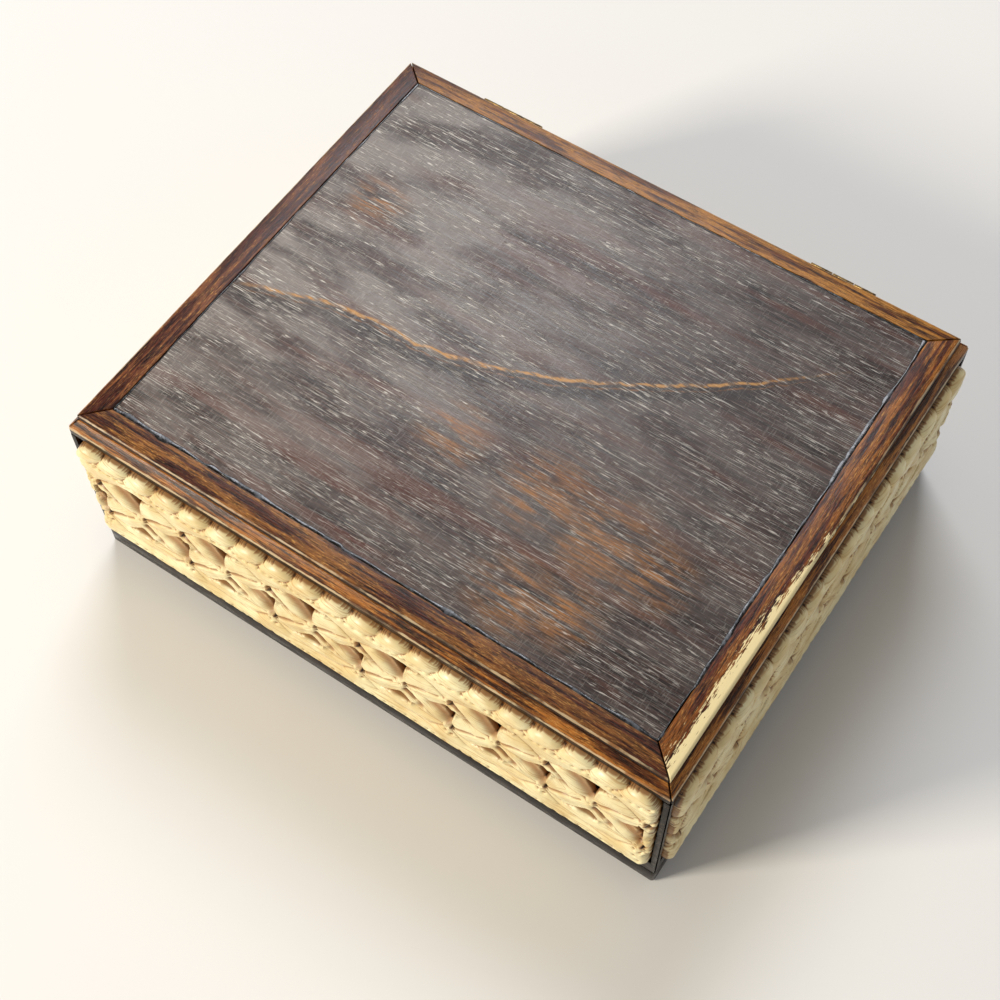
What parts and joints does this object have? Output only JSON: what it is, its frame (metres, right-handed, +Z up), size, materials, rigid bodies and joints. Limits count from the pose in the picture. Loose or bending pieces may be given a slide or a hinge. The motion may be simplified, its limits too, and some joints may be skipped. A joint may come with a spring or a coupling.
{
  "type": "jewelry box",
  "caption": "Low rectangular wooden jewelry box with openwork carved side panels, a bevelled rim and a thin framed lid on small butt hinges",
  "frame": {"origin": "middle of the underside", "axes": "+X along the long side, front at -Y with the hinges at +Y, +Z up"},
  "size_m": [0.1548, 0.1304, 0.0542],
  "materials": {
    "dark_wood": "very dark brown stain under a satin varnish",
    "rim_wood": "red-brown stain under varnish, worn orange and pale on the edges",
    "lid_wood": "dark stained open-grain wood with glossy streaks and scratches",
    "carved_wood": "pale carved wood, satin",
    "felt": "wine felt",
    "hinge_brass": "aged brass"
  },
  "bodies": {
    "case": {"base_board": "dark_wood", "wall_front": "dark_wood", "wall_right": "dark_wood", "wall_back": "dark_wood", "wall_left": "dark_wood", "rim_front": "rim_wood", "rim_right": "rim_wood", "rim_back": "rim_wood", "rim_left": "rim_wood", "carved_panel_front": "carved_wood", "carved_panel_right": "carved_wood", "carved_panel_back": "carved_wood", "carved_panel_left": "carved_wood", "floor_lining": "felt", "hinge_left_case_leaf": "hinge_brass", "hinge_right_case_leaf": "hinge_brass", "hinge_left_pin": "hinge_brass", "hinge_right_pin": "hinge_brass", "case_nail_left_1": "hinge_brass", "case_nail_left_2": "hinge_brass", "case_nail_right_1": "hinge_brass", "case_nail_right_2": "hinge_brass"},
    "lid": {"lid_strip_front": "rim_wood", "lid_strip_right": "rim_wood", "lid_strip_back": "rim_wood", "lid_strip_left": "rim_wood", "lid_panel": "lid_wood", "lid_lining": "felt", "hinge_left_lid_leaf": "hinge_brass", "hinge_right_lid_leaf": "hinge_brass", "lid_nail_left_1": "hinge_brass", "lid_nail_left_2": "hinge_brass", "lid_nail_right_1": "hinge_brass", "lid_nail_right_2": "hinge_brass"}
  },
  "joints": [
    {"name": "lid_hinge", "type": "hinge", "parent": "case", "child": "lid", "pos_m": [0, 0.06095, 0.05185], "axis": [-1, 0, 0], "range_deg": [0, 100]}
  ]
}
